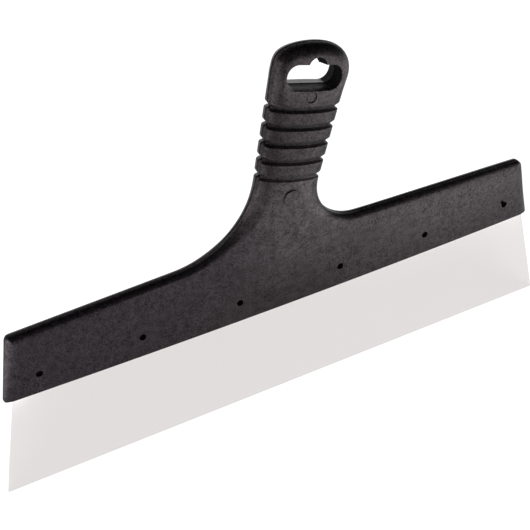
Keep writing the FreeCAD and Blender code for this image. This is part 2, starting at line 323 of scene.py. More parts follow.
def grip_stations():
    """(along, width lost, half thickness) up the grip, from the neck's top to the head."""
    stations = []
    for index in range(GROOVES):
        low = GRIP_START + index * GROOVE_PITCH
        below = NECK_THICK if index == 0 else RING_THICK
        above = HEAD_LOW_THICK if index == GROOVES - 1 else RING_THICK
        floor = above - GROOVE_FACE if index else below - LOWEST_FACE
        # the eased upper edge of the ring below
        edge = low - SHOULDER
        stations += [(edge - RING_EDGE, 0.0, below), (edge - 0.2, 0.02, below - 0.015)]
        stations += [(edge, 0.11, below - 0.07), (edge + 0.14, 0.3, below - 0.16)]
        # the groove's floor, between the shoulder and the bevel
        stations += [(low - 0.12, GROOVE_SIDE - 0.08, floor + 0.05)]
        stations += [(low + 0.08, GROOVE_SIDE, floor)]
        stations += [(low + GROOVE_FLOOR - 0.05, GROOVE_SIDE, floor)]
        stations += [(low + GROOVE_FLOOR + 0.12, GROOVE_SIDE - 0.1, floor + 0.06)]
        # the bevel's crisp upper end
        end = low + GROOVE_FLOOR + BEVEL
        stations += [(end - 0.35, 0.3, above - 0.25), (end - 0.1, 0.15, above - 0.22)]
        stations += [(end + 0.04, 0.08, above - 0.08), (end + 0.14, 0.03, above - 0.02)]
        stations += [(end + CREST, 0.0, above)]
        if index < GROOVES - 1:
            top = low + GROOVE_PITCH - SHOULDER - RING_EDGE
            for step in (1, 2, 3):
                face = end + CREST + (top - end - CREST) * step / 4.0
                stations.append((face, 0.0, above))
    return np.array(stations)


STATIONS = grip_stations()


def head_arch(rise, corner):
    """Share of the width left at a share of the way up the head's arch."""
    bow, power = corner
    return (1.0 - rise ** bow) ** power


def head_outline_width(along, corner):
    """Half width of the head's outline, rounded over at the top."""
    start = grip_width(HEAD_START)
    share = np.clip((along - HEAD_START) / (HEAD_FULL - HEAD_START), 0.0, 1.0)
    width = start + (HEAD_WIDTH - start) * share
    rise = np.clip((along - HEAD_FULL) / (HEAD_TOP - HEAD_FULL), 0.0, 1.0)
    return width * head_arch(rise, corner)


def head_shift(along):
    return HEAD_SHIFT * np.clip((along - HEAD_START) / (HEAD_FULL - HEAD_START), 0.0, 1.0)


def half_width(along):
    """Half width of the grip, and of the head without its arch."""
    lost = np.interp(along, STATIONS[:, 0], STATIONS[:, 1], left=0.0, right=0.0)
    start = grip_width(HEAD_START)
    share = np.clip((along - HEAD_START) / (HEAD_FULL - HEAD_START), 0.0, 1.0)
    head = start + (HEAD_WIDTH - start) * share
    return np.where(along > HEAD_START, head, grip_width(along) - lost)


def half_thickness(along):
    """Half thickness of the grip and the head at their middle."""
    grip = np.interp(along, STATIONS[:, 0], STATIONS[:, 2])
    share = (along - HEAD_START) / (HEAD_TOP - HEAD_START)
    head = HEAD_LOW_THICK + (HEAD_HIGH_THICK - HEAD_LOW_THICK) * share
    return np.where(along > HEAD_START, head, grip)


def lens(share, power):
    """A rounded end: 1 at a share of 0, falling to 0 at a share of 1."""
    return (1.0 - np.clip(share, 0.0, 1.0) ** power) ** (1.0 / power)


def head_arc():
    """The head's arch, from the right side over the top to the left side."""
    rise = np.sin(np.radians(np.linspace(0.0, 90.0, 60)))
    along = HEAD_FULL + (HEAD_TOP - HEAD_FULL) * rise
    right = from_handle(along, HEAD_SHIFT + HEAD_WIDTH * head_arch(rise, HEAD_RIGHT_CORNER))
    left = from_handle(along, HEAD_SHIFT - HEAD_WIDTH * head_arch(rise, HEAD_LEFT_CORNER))[::-1]
    return np.concatenate([right, left[1:]])


HEAD_ARC = head_arc()


def head_line():
    """The head's outline: up the right side, over the arc and down the left side."""
    along = np.linspace(HEAD_START - 12.0, HEAD_FULL, 12)
    wide = half_width(np.maximum(along, HEAD_START + 0.001))
    right = from_handle(along, head_shift(along) + wide)
    left = from_handle(along, head_shift(along) - wide)[::-1]
    return np.concatenate([right, HEAD_ARC[1:-1], left])


HEAD_LINE = head_line()


def distance_to(points, line):
    """Distance from each point to a polyline, and the place along it, counted in vertices."""
    best = np.full(len(points), 1e9)
    place = np.zeros(len(points))
    for index in range(len(line) - 1):
        a = line[index]
        run = line[index + 1] - a
        square = float(np.dot(run, run))
        if square < 1e-12:
            continue
        share = np.clip(((points - a) @ run) / square, 0.0, 1.0)
        gap = np.linalg.norm(points - a - share[:, None] * run, axis=1)
        nearer = gap < best
        best = np.where(nearer, gap, best)
        place = np.where(nearer, index + share, place)
    return best, place


LEFT_RUN, LEFT_MARKS = side_run(-1.0)
RIGHT_RUN, RIGHT_MARKS = side_run(1.0)


def grip_form(share):
    """The grip's section: a crowned face that turns over near the sides."""
    return (1.0 - GRIP_CROWN * share ** 2) * lens(share, GRIP_POWER)


def rounding_loss(distance, width, depth):
    """The height that a quarter-round rounding takes off at a distance from the edge."""
    share = np.clip(distance / width, 0.0, 1.0)
    return depth * (1.0 - np.sqrt(np.clip(1.0 - (1.0 - share) ** 2, 0.0, 1.0)))


def edge_roundings(run, marks):
    """The rounding's width and its share of the thickness, for each point from the end on."""
    place = np.arange(len(run), dtype=float)
    neck = ease(place, marks[5] + 0.1 * (marks[6] - marks[5]), marks[6])
    end = 1.0 - ease(place, marks[3], marks[4])
    width = TOP_ROUNDING + (END_ROUNDING - TOP_ROUNDING) * end
    width = width + (NECK_ROUNDING - TOP_ROUNDING) * neck
    growth = np.maximum(neck, END_GROWTH * end)
    return width[marks[2]:], growth[marks[2]:]


def rounded_edges():
    """For each side: the line that its rounding follows, with widths and growths."""
    edges = []
    for run, marks in ((LEFT_RUN, LEFT_MARKS), (RIGHT_RUN, RIGHT_MARKS)):
        line = run[marks[2]:].copy()
        # the line runs on past the bottom corner, so the end's facet reaches the bottom
        line[0] = line[0] + 3.0 * BOTTOM_CORNER * unit(line[0] - line[1])
        edges.append((line,) + edge_roundings(run, marks))
    return edges


EDGES = rounded_edges()


def holder_height(points):
    """Half thickness of the holder and the neck."""
    x, z = points[:, 0], points[:, 1]
    along, across = to_handle(points)
    share = np.clip((x - HOLDER_SHIFT) / HOLDER_HALF, -1.0, 1.0)
    low = END_THICK + (MIDDLE_THICK - END_THICK) * (1.0 - share ** 2)
    core = CORE_THICK + (NECK_THICK - CORE_THICK) * ease(along, CORE_LOW, NECK_TOP)
    fade = 0.5 + 0.5 * np.cos(math.pi * np.clip(np.abs(across) / CORE_REACH, 0.0, 1.0))
    high = END_TOP_THICK + (core - END_TOP_THICK) * fade
    rise = np.clip((z - BOTTOM) / (holder_top(x) - BOTTOM), 0.0, 1.0)
    face = low + (high - low) * rise + 4.0 * FACE_CROWN * rise * (1.0 - rise)
    losses = rounding_loss(z - BOTTOM, BOTTOM_ROUNDING, BOTTOM_ROUNDING) ** ROUNDING_POWER
    gaps = []
    for line, widths, growths in EDGES:
        gap, place = distance_to(points, line)
        places = np.arange(len(line))
        growth = np.interp(place, places, growths)
        depth = TOP_DEPTH + (face - TOP_DEPTH - SEAM) * growth
        width = np.interp(place, places, widths)
        crease = END_CREASE * ease(width, TOP_ROUNDING + 0.2, END_ROUNDING)
        slope = depth * np.clip(1.0 - gap / width, 0.0, 1.0)
        loss = crease * slope + (1.0 - crease) * rounding_loss(gap, width, depth)
        losses = losses + loss ** ROUNDING_POWER
        gaps.append(gap)
    flat = face - losses ** (1.0 / ROUNDING_POWER)
    middle = np.abs(gaps[0] - gaps[1]) / np.maximum(gaps[0] + gaps[1], 1e-6)
    rounded = core * grip_form(middle)
    mix = ease(along, BLEND_LOW, NECK_TOP)
    return np.maximum(flat * (1.0 - mix) + rounded * mix, SEAM)


def handle_height(points):
    """Half thickness of the grip and the head."""
    along, across = to_handle(points)
    share = np.clip(np.abs(across - head_shift(along)) / half_width(along), 0.0, 1.0)
    form = grip_form(share)
    top = along > HEAD_START
    if top.any():
        gap, _ = distance_to(points[top], HEAD_LINE)
        flat = (1.0 - HEAD_BOW * share[top] ** 2) * lens(1.0 - gap / HEAD_ROUNDING, HEAD_POWER)
        mix = ease(along[top], HEAD_START, HEAD_START + HEAD_BLEND)
        form[top] = form[top] * (1.0 - mix) + flat * mix
    return np.maximum(half_thickness(along) * form, SEAM)


def mark_change(points):
    """How far the ejector marks move the front face, outwards if positive."""
    along, across = to_handle(points)
    up, side, radius = UPPER_MARK
    gap = np.hypot(along - up, across - side) - radius
    sunk = MARK_DEPTH * (1.0 - ease(gap, -UPPER_MARK_EDGE, UPPER_MARK_EDGE))
    up, side, radius = LOWER_MARK
    gap = np.hypot(along - up, across - side) - radius
    slope = ((along - up) * MARK_TILT[0] + (across - side) * MARK_TILT[1]) / radius
    tilt = np.clip(0.5 + 0.5 * slope, 0.0, 1.0)
    proud = MARK_PROUD * tilt * (1.0 - ease(gap, -LOWER_MARK_EDGE, LOWER_MARK_EDGE))
    return proud - sunk


def height_at(points, front):
    """Half thickness at points of the plane; the front has the ejector marks and the tear."""
    along, _ = to_handle(points)
    upper = along >= NECK_TOP - 0.01
    height = np.empty(len(points))
    if upper.any():
        height[upper] = handle_height(points[upper])
    if (~upper).any():
        height[~upper] = holder_height(points[~upper])
    if front:
        height = height + mark_change(points)
        height = height - tear(points)
    return np.maximum(height, SEAM)


def tear(points):
    """How deep the torn rim of the last locating hole is."""
    x = points[:, 0] - (locating_places()[-1] + TEAR_SIDEWAYS)
    z = points[:, 1] - (HOLE_HEIGHT + TEAR_UP)
    c, s = TEAR_TURN
    near = np.hypot(x * c + z * s, (z * c - x * s) * TEAR_STRETCH)
    return TEAR_DEPTH * (1.0 - ease(near, *TEAR_REACH))


# ---- holes ----

def locating_places():
    """X of the locating holes, from left to right."""
    places = [HOLE_INNER + HOLE_PITCH * index for index in range(HOLES_PER_SIDE)]
    return sorted([-x for x in places] + places)


def circle(x, z, radius, count):
    turn = np.linspace(0.0, 2.0 * math.pi, count, endpoint=False)
    return np.stack([x + radius * np.cos(turn), z + radius * np.sin(turn)], axis=1)


def hole_gap(along, across):
    """Signed distance to the hanging hole: the slot and its notch."""
    low = SLOT_LOW + SLOT_CORNER
    high = SLOT_HIGH - SLOT_CORNER
    side = np.abs(across) - (SLOT_WIDTH - SLOT_CORNER)
    rise = np.abs(along - 0.5 * (low + high)) - 0.5 * (high - low)
    outside = np.hypot(np.maximum(side, 0.0), np.maximum(rise, 0.0))
    slot = outside + np.minimum(np.maximum(side, rise), 0.0) - SLOT_CORNER
    notch = np.hypot(along - NOTCH_ALONG, across - NOTCH_ACROSS) - NOTCH_RADIUS
    return np.minimum(slot, notch)


def hole_radius(turn, grow):
    """Distance from the hole's middle to its edge at each turn; the edge is moved out by grow."""
    low = np.zeros(len(turn))
    high = np.full(len(turn), HEAD_WIDTH)
    middle_along = 0.5 * (SLOT_LOW + SLOT_HIGH)
    for _ in range(40):
        mid = 0.5 * (low + high)
        inside = hole_gap(middle_along + mid * np.sin(turn), mid * np.cos(turn)) < grow
        low = np.where(inside, mid, low)
        high = np.where(inside, high, mid)
    return low


def hole_turns(count):
    """Turns that divide the hole's edge evenly."""
    turn = np.linspace(0.0, 2.0 * math.pi, 4001)
    radius = hole_radius(turn, 0.0)
    x, y = radius * np.cos(turn), radius * np.sin(turn)
    length = np.concatenate([[0.0], np.cumsum(np.hypot(np.diff(x), np.diff(y)))])
    return np.interp(np.linspace(0.0, length[-1], count, endpoint=False), length, turn)


HOLE_TURNS = hole_turns(260)


def hole_ring(grow):
    """The hole's edge, moved out by grow."""
    radius = hole_radius(HOLE_TURNS, grow)
    middle_along = 0.5 * (SLOT_LOW + SLOT_HIGH)
    return from_handle(middle_along + radius * np.sin(HOLE_TURNS), radius * np.cos(HOLE_TURNS))


# ---- shells ----

def inside_polygon(points, polygon):
    """Which points lie inside: a line to the right crosses the edge an odd number of times."""
    inside = np.zeros(len(points), bool)
    x, y = points[:, 0], points[:, 1]
    for index in range(len(polygon)):
        ax, ay = polygon[index - 1]
        bx, by = polygon[index]
        crosses = (ay > y) != (by > y)
        with np.errstate(divide="ignore", invalid="ignore"):
            at = ax + (y - ay) * (bx - ax) / (by - ay)
        inside ^= crosses & (x < at)
    return inside


def outline():
    """The handle's whole outline, anticlockwise from the middle of the bottom edge."""
    right = RIGHT_RUN
    left = LEFT_RUN[::-1]
    grip_along = STATIONS[:, 0]
    inner = grip_along[grip_along > NECK_TOP + 0.01]
    right_grip = from_handle(inner, half_width(inner))
    left_grip = from_handle(inner, -half_width(inner))[::-1]
    rise = np.linspace(HEAD_START + 0.4, HEAD_FULL - 0.5, 15)
    right_head = from_handle(rise, head_shift(rise) + half_width(rise))
    left_head = from_handle(rise, head_shift(rise) - half_width(rise))[::-1]
    loop = [right, right_grip, right_head, HEAD_ARC, left_head, left_grip, left[:-1]]
    return np.concatenate(loop)


def offset_rows(run, distances):
    """Rows of points at several distances inside an open run of the outline."""
    ahead = np.roll(run, -1, axis=0) - np.roll(run, 1, axis=0)
    ahead[0] = run[1] - run[0]
    ahead[-1] = run[-1] - run[-2]
    ahead /= np.linalg.norm(ahead, axis=1)[:, None]
    normal = np.stack([-ahead[:, 1], ahead[:, 0]], axis=1)
    rows = []
    for distance in distances:
        rows.append(run + normal * distance)
    return np.concatenate(rows)


def thin_out(points, spacing, fixed):
    """Drops points that crowd a fixed point or one another."""
    taken = {}

    def cell(point):
        return int(point[0] // spacing), int(point[1] // spacing)

    def crowded(point):
        i, j = cell(point)
        for a in (i - 1, i, i + 1):
            for b in (j - 1, j, j + 1):
                for other in taken.get((a, b), ()):
                    if math.dist(other, point) < spacing:
                        return True
        return False

    for point in fixed:
        taken.setdefault(cell(point), []).append(point)
    kept = []
    for point in points:
        if not crowded(point):
            taken.setdefault(cell(point), []).append(point)
            kept.append(point)
    return np.array(kept).reshape(-1, 2)


def head_row(along, spread):
    """A row of points across the head; spread runs from -1 at the left edge to 1."""
    right = head_outline_width(along, HEAD_RIGHT_CORNER)
    left = head_outline_width(along, HEAD_LEFT_CORNER)
    wide = np.where(spread > 0.0, right, left)
    return from_handle(along, head_shift(np.array(along)) + spread * wide)


def grip_rows():
    """Points in rows across the grip and the head, closer together near the sides."""
    spread = np.sin(np.radians(np.linspace(-90.0, 90.0, 53)[1:-1]))
    rows = [from_handle(along, spread * half_width(np.array(along))) for along in STATIONS[:, 0]]
    rows += [head_row(along, spread) for along in np.arange(HEAD_START + 0.7, HEAD_FULL, 0.9)]
    for rise in np.radians(np.linspace(3.0, 87.0, 30)):
        rows.append(head_row(HEAD_FULL + (HEAD_TOP - HEAD_FULL) * math.sin(rise), spread))
    return np.concatenate(rows)


def loops_and_points():
    """The closed loops that bound a shell, and the free points inside it."""
    loops = [outline(), hole_ring(HOLE_GAPS[0])]
    for x in locating_places():
        loops.append(circle(x, HOLE_HEIGHT, HOLE_RADIUS, PIN_SIDES))
    tied = [hole_ring(gap) for gap in HOLE_GAPS[1:]]
    for x in locating_places():
        tied += [circle(x, HOLE_HEIGHT, HOLE_RADIUS + gap, PIN_SIDES) for gap in PIN_GAPS[1:]]
    for along, across, radius in (UPPER_MARK, LOWER_MARK):
        x, z = from_handle(along, across)
        tied += [circle(x, z, radius + gap, MARK_SIDES) for gap in MARK_GAPS]
    tear_x = locating_places()[-1] + TEAR_SIDEWAYS
    tied += [circle(tear_x, HOLE_HEIGHT + TEAR_UP, radius, 16) for radius in TEAR_RINGS]
    fixed = np.concatenate(loops)
    tied = thin_out(np.concatenate(tied), 0.04, fixed)
    fixed = np.concatenate([fixed, tied])
    rows = thin_out(grip_rows(), 0.1, fixed)
    rows = rows[hole_gap(*to_handle(rows)) > 0.25]
    fixed = np.concatenate([fixed, rows])
    edges = [offset_rows(RIGHT_RUN, EDGE_GAPS)]
    edges.append(offset_rows(LEFT_RUN[::-1], EDGE_GAPS))
    edges = np.concatenate(edges)
    edges = edges[to_handle(edges)[0] < NECK_TOP - 0.1]
    edges = thin_out(edges, 0.12, fixed)
    fixed = np.concatenate([fixed, edges])
    x = np.arange(handle_low[0], handle_high[0], FACE_STEP)
    z = np.arange(BOTTOM, AXIS_HEIGHT + NECK_TOP + 8.0, FACE_STEP)
    grid = np.stack([v.ravel() for v in np.meshgrid(x, z)], axis=1)
    # every other row is moved by half a step
    grid[:, 0] += 0.5 * FACE_STEP * (np.round((grid[:, 1] - BOTTOM) / FACE_STEP) % 2)
    grid = grid[to_handle(grid)[0] < NECK_TOP - 0.5]
    grid = thin_out(grid, FACE_GAP, fixed)
    return loops, np.concatenate([tied, rows, edges, grid])


def plane_mesh(loops, free):
    """Triangles that fill the first loop round the other loops.

    Returns points, triangles and, for each loop, its points' places."""
    loop_points = np.concatenate(loops)
    outer = loops[0]
    free = free[inside_polygon(free, outer)]
    for hole in loops[1:]:
        free = free[~inside_polygon(free, hole)]
    points = np.concatenate([loop_points, free])
    edges = []
    start = 0
    for loop in loops:
        count = len(loop)
        edges += [(start + i, start + (i + 1) % count) for i in range(count)]
        start += count
    flat = [Vector((float(x), float(z))) for x, z in points]
    found = delaunay_2d_cdt(flat, edges, [], 0, 1e-5)
    out = np.array([tuple(v) for v in found[0]])
    origin = {}
    for index, sources in enumerate(found[3]):
        for source in sources:
            origin[source] = index
    triangles = np.array(found[2])
    middles = out[triangles].mean(axis=1)
    keep = inside_polygon(middles, outer)
    for hole in loops[1:]:
        keep &= ~inside_polygon(middles, hole)
    places = []
    start = 0
    for loop in loops:
        places.append([origin[start + i] for i in range(len(loop))])
        start += len(loop)
    return out, triangles[keep], places


def loop_normals(loop):
    """Unit vectors to the right of a closed loop: outwards if it runs anticlockwise."""
    ahead = np.roll(loop, -1, axis=0) - np.roll(loop, 1, axis=0)
    ahead /= np.maximum(np.linalg.norm(ahead, axis=1), 1e-9)[:, None]
    return np.stack([ahead[:, 1], -ahead[:, 0]], axis=1)


def add_wall(verts, faces, front, back, rows):
    """Quads from the front shell's loop through rows of new points to the back shell's.

    Returns the number of bands of quads."""
    rings = [front]
    for row in rows:
        start = len(verts)
        verts.extend(row)
        rings.append(list(range(start, start + len(row))))
    rings.append(back)
    count = len(front)
    for one, two in zip(rings[:-1], rings[1:]):
        for i in range(count):
            j = (i + 1) % count
            faces.append((one[i], one[j], two[j], two[i]))
    return len(rings) - 1


def make_mesh(name, verts, faces, sharp_degrees):
    """An object from points in millimetres, smooth but for edges sharper than the angle."""
    mesh = bpy.data.meshes.new(name)
    scaled = [(x * MM, y * MM, z * MM) for x, y, z in verts]
    mesh.from_pydata(scaled, [], faces)
    mesh.update()
    obj = bpy.data.objects.new(name, mesh)
    bpy.context.scene.collection.objects.link(obj)
    work = bmesh.new()
    work.from_mesh(mesh)
    bmesh.ops.recalc_face_normals(work, faces=work.faces[:])
    work.to_mesh(mesh)
    work.free()
    mesh.polygons.foreach_set("use_smooth", [True] * len(mesh.polygons))
    mesh.set_sharp_from_angle(angle=math.radians(sharp_degrees))
    mesh.update()
    return obj


def two_shells(points, triangles, front_height, back_height):
    """Vertices and faces of the front shell and, after it, the back shell."""
    verts = [(x, -h, z) for (x, z), h in zip(points, front_height)]
    verts += [(x, h, z) for (x, z), h in zip(points, back_height)]
    faces = [tuple(int(i) for i in t) for t in triangles]
    faces += [tuple(int(i) + len(points) for i in t[::-1]) for t in triangles]
    return verts, faces


def rim_loss(points):
    """The height that the roundings round the holes take off."""
    loss = rounding_loss(hole_gap(*to_handle(points)), *SLOT_RIM)
    for x in locating_places():
        gap = np.hypot(points[:, 0] - x, points[:, 1] - HOLE_HEIGHT) - HOLE_RADIUS
        loss = loss + rounding_loss(gap, *PIN_RIM)
    return loss


def ring(flat, depth):
    """Points of the plane, set at a depth or at one depth each."""
    return [(p[0], d, p[1]) for p, d in zip(flat, np.broadcast_to(depth, len(flat)))]


def side_rows(flat, height):
    """The side wall between the shells: a lip, the parting line's groove and a lip."""
    seam = SEAM_DEPTH * ease(to_handle(flat)[0], *SEAM_START)
    inner = flat - loop_normals(flat) * seam[:, None]
    lip = SEAM_LIP * np.minimum(height, SEAM)
    rows = [ring(flat, -lip), ring(inner, -SEAM_HALF)]
    return rows + [ring(inner, SEAM_HALF), ring(flat, lip)]


def slot_rows(front_rim, back_rim):
    """The hanging hole's wall: it narrows to the parting plane, where it has a low ridge."""
    rings = [hole_ring(-draft * SLOT_DRAFT) for _, draft in SLOT_ROWS]
    shares = [share for share, _ in SLOT_ROWS]
    rows = [ring(flat, -front_rim * share) for flat, share in zip(rings, shares)]
    ridge = hole_ring(-SLOT_DRAFT - SLOT_SEAM)
    rows += [ring(ridge, depth) for depth in (-SLOT_SEAM_HALF, SLOT_SEAM_HALF)]
    rows += [ring(flat, back_rim * share) for flat, share in zip(rings[::-1], shares[::-1])]
    return rows


def handle_object():
    """The moulding, and the places of its faces that have the coarse texture and its painted shade.
    """
    loops, free = loops_and_points()
    points, triangles, places = plane_mesh(loops, free)
    loss = rim_loss(points)
    front_height = np.maximum(height_at(points, True) - loss, SEAM)
    back_height = np.maximum(height_at(points, False) - loss, SEAM)
    verts, faces = two_shells(points, triangles, front_height, back_height)
    backs = [[i + len(points) for i in place] for place in places]

    edge = places[0]
    add_wall(verts, faces, edge, backs[0], side_rows(points[edge], front_height[edge]))

    slot = places[1]
    outward = loop_normals(points[slot])
    to_right = outward[:, 0] * math.cos(LEAN) - outward[:, 1] * math.sin(LEAN)
    start = len(faces)
    rows = slot_rows(front_height[slot], back_height[slot])
    bands = add_wall(verts, faces, slot, backs[1], rows)
    # the hanging hole's right-facing walls get the coarse material, dark as painted shade
    shaded_coarse = [start + band * len(slot) + i for band in range(bands)
              for i in range(len(slot)) if to_right[i] > SLOT_RIGHT]

    # the locating holes' walls get the coarse material too, dark as painted shade
    start = len(faces)
    for place, back in zip(places[2:], backs[2:]):
        rows = [ring(points[place], depth) for depth in PIN_ROWS]
        add_wall(verts, faces, place, back, rows)
    shaded_coarse += range(start, len(faces))
    return make_mesh("handle_moulding", verts, faces, HANDLE_SHARP), shaded_coarse


def blade_outline():
    """The blade's outline, anticlockwise, with rounded corners."""
    top_half = EDGE_HALF - BLADE_SLOPE * BLADE_TOP
    corners = [(-EDGE_HALF, 0.0), (EDGE_HALF, 0.0), (top_half, BLADE_TOP), (-top_half, BLADE_TOP)]
    corners = [np.array(corner) for corner in corners]
    radii = [EDGE_CORNER, EDGE_CORNER, TANG_CORNER, TANG_CORNER]
    arcs = []
    for index in range(4):
        before, here, after = corners[index - 1], corners[index], corners[(index + 1) % 4]
        arcs.append(fillet(before, here, after, radii[index], BLADE_ARC_STEP))
    loop = []
    for index, arc in enumerate(arcs):
        loop += arc
        loop += straight(arc[-1], arcs[(index + 1) % 4][0], BLADE_STEP)[1:-1]
    return np.array(loop)


def blade_object():
    loop = blade_outline()
    loops = [loop]
    for x in locating_places():
        loops.append(circle(x, HOLE_HEIGHT, HOLE_RADIUS + BLADE_CLEARANCE, BLADE_HOLE_SIDES))
    for i in range(-2, 3):
        loops.append(circle(i * ANCHOR_PITCH, ANCHOR_HEIGHT, ANCHOR_RADIUS, ANCHOR_SIDES))
    normal = loop_normals(loop)
    eased = [loop - normal * BLADE_EASE / 3.0, loop - normal * BLADE_EASE]
    points, triangles, places = plane_mesh(loops, np.concatenate(eased))
    gap, _ = distance_to(points, np.concatenate([loop, loop[:1]]))
    height = BLADE_HALF_THICKNESS - rounding_loss(gap, BLADE_EASE, BLADE_EASE)
    verts, faces = two_shells(points, triangles, height, height)
    for place in places:
        add_wall(verts, faces, place, [i + len(points) for i in place], [])
    return make_mesh("blade_sheet", verts, faces, BLADE_SHARP)


handle, coarse_shaded_faces = handle_object()
blade = blade_object()
pieces = ((handle, "handle", "handle_plastic"), (blade, "blade", "blade_steel"))
for piece, node, slot_name in pieces:
    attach(piece, "root")
    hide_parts(node)


# ---- materials ----

PLASTIC_DARK = (0.0016, 0.0013, 0.0016, 1.0)
PLASTIC_LIGHT = (0.0125, 0.0107, 0.0119, 1.0)
PLASTIC_SWIRL = (0.026, 0.0228, 0.0240, 1.0)
PLASTIC_WORN = (0.045, 0.041, 0.042, 1.0)
# painted reflection colour: the sheen's tint is bluer on the left than on the right
PAINTED_SHEEN_LEFT = (1.0, 0.82, 0.99, 1.0)
PAINTED_SHEEN_RIGHT = (1.0, 0.83, 0.90, 1.0)
SWIRL_PLACE = (0.002, 0.0, 0.118)  # the swirls are strongest here; metres
GRIP_MIDDLE = 0.165              # height of the grip's middle, in metres; the band of painted shade on the grip is centred here
# the holes' walls: this dark colour is painted shade
COARSE_SHADE_DARK = (0.0008, 0.0007, 0.0008, 1.0)
COARSE_SHADE_LIGHT = (0.006, 0.005, 0.006, 1.0)
STEEL_DARK = (0.695, 0.669, 0.667, 1.0)
STEEL_LIGHT = (0.725, 0.699, 0.697, 1.0)
STEEL_CLOUD = (0.711, 0.680, 0.669, 1.0)
WHITE = (1.0, 1.0, 1.0, 1.0)


class Nodes:
    """A short way to write a material's nodes."""

    def __init__(self, name):
        self.material = bpy.data.materials.new(name)
        self.material.use_nodes = True
        self.tree = self.material.node_tree
        self.shader = self.tree.nodes["Principled BSDF"]
        self.place = self.add("ShaderNodeTexCoord").outputs["Object"]

    def add(self, kind, inputs=(), **settings):
        node = self.tree.nodes.new(kind)
        for key, value in settings.items():
            setattr(node, key, value)
        for key, value in dict(inputs).items():
            if isinstance(value, bpy.types.NodeSocket):
                self.tree.links.new(value, node.inputs[key])
            else:
                node.inputs[key].default_value = value
        return node

    def link(self, source, target):
        self.tree.links.new(source, target)

    def stretched(self, scale):
        """The object's coordinates, scaled by a factor for each axis."""
        node = self.add("ShaderNodeMapping", {"Vector": self.place})
        node.inputs["Scale"].default_value = scale
        return node.outputs[0]

    def noise(self, per_mm, detail=3.0, rough=0.5, distortion=0.0, vector=None):
        """Noise with so many features per mm."""
        settings = {"Vector": vector or self.place, "Scale": per_mm / MM}
        settings.update({"Detail": detail, "Roughness": rough, "Distortion": distortion})
        return self.add("ShaderNodeTexNoise", settings).outputs[0]

    def span(self, value, low, high, out_low, out_high):
        """out_low up to low, then a straight line to out_high at high."""
        settings = {"Value": value, "From Min": low, "From Max": high}
        settings.update({"To Min": out_low, "To Max": out_high})
        return self.add("ShaderNodeMapRange", settings).outputs[0]

    def away_from(self, place, low, high, out_low, out_high):
        """A span of the distance to a place, in metres."""
        gap = self.add("ShaderNodeVectorMath", {0: self.place, 1: place}, operation="DISTANCE")
        return self.span(gap.outputs["Value"], low, high, out_low, out_high)

    def math(self, operation, one, two=0.0):
        return self.add("ShaderNodeMath", {0: one, 1: two}, operation=operation).outputs[0]

    def product(self, one, *others):
        for other in others:
            one = self.math("MULTIPLY", one, other)
        return one

    def blend(self, factor, one, two):
        """A colour between one and two."""
        node = self.add("ShaderNodeMix", data_type="RGBA")
        for place, value in ((0, factor), (6, one), (7, two)):
            socket = node.inputs[place]
            if isinstance(value, bpy.types.NodeSocket):
                self.link(value, socket)
            else:
                socket.default_value = value
        return node.outputs[2]

    def bump(self, height, strength, distance_mm, under=None):
        settings = {"Height": height, "Strength": strength, "Distance": distance_mm * MM}
        if under is not None:
            settings["Normal"] = under
        return self.add("ShaderNodeBump", settings).outputs[0]


def plastic():
    """Black polypropylene: satin, mottled, with swirls where the plastic flowed up the neck. Its
    sheen is cut in the grooves and on the grip as painted shade, and its tint shifts by side as
    painted reflection colour.
    """
    n = Nodes("black_polypropylene")
    s = n.shader
    split = n.add("ShaderNodeSeparateXYZ", {0: n.place})
    pointed = n.add("ShaderNodeNewGeometry").outputs["Pointiness"]
    mottle = n.noise(0.28, 5.0, 0.66)
    fine = n.noise(1.3, 3.0, 0.7)
    mixed = n.math("ADD", n.math("MULTIPLY", mottle, 0.3), n.math("MULTIPLY", fine, 0.7))
    flow = n.span(n.noise(0.16, 5.0, 0.7, 2.4), 0.42, 0.66, 0.0, 1.0)
    swirl = n.product(flow, n.away_from(SWIRL_PLACE, 0.012, 0.045, 1.0, 0.0))

    colour = n.blend(n.span(mixed, 0.38, 0.66, 0.0, 1.0), PLASTIC_DARK, PLASTIC_LIGHT)
    colour = n.blend(n.product(swirl, 0.9), colour, PLASTIC_SWIRL)
    scuffed = n.span(fine, 0.5, 0.62, 0.0, 1.0)
    worn = n.product(n.span(pointed, 0.51, 0.56, 0.0, 1.0), scuffed, 0.7)
    n.link(n.blend(worn, colour, PLASTIC_WORN), s.inputs["Base Color"])

    # the sheen is weaker at the parting line; in the grooves and on a band round the grip it is cut
    # as painted shade
    seam = n.span(n.math("ABSOLUTE", split.outputs["Y"]), 0.0006, 0.0011, 0.3, 1.0)
    groove = n.span(pointed, 0.45, 0.493, 0.05, 1.0)
    from_grip = n.math("ABSOLUTE", n.math("SUBTRACT", split.outputs["Z"], GRIP_MIDDLE))
    grip = n.span(from_grip, 0.0185, 0.0215, 0.72, 1.0)
    flowed = n.span(swirl, 0.0, 1.0, 0.90, 1.45)
    sheen = n.product(n.span(mixed, 0.40, 0.60, 0.075, 0.295), seam, groove, flowed, grip)
    n.link(sheen, s.inputs["Specular IOR Level"])
    # painted reflection: the sheen's tint shifts from the left end to the middle
    side = n.span(split.outputs["X"], -0.15, 0.0, 0.0, 1.0)
    n.link(n.blend(side, PAINTED_SHEEN_LEFT, PAINTED_SHEEN_RIGHT), s.inputs["Specular Tint"])
    s.inputs["IOR"].default_value = 1.5

    n.link(n.span(mixed, 0.3, 0.7, 0.26, 0.40), s.inputs["Roughness"])
    grain = n.bump(fine, 0.5, 0.06)
    n.link(n.bump(n.noise(0.12, 3.0, 0.55, 1.2), 0.5, 0.12, grain), s.inputs["Normal"])
    return n.material


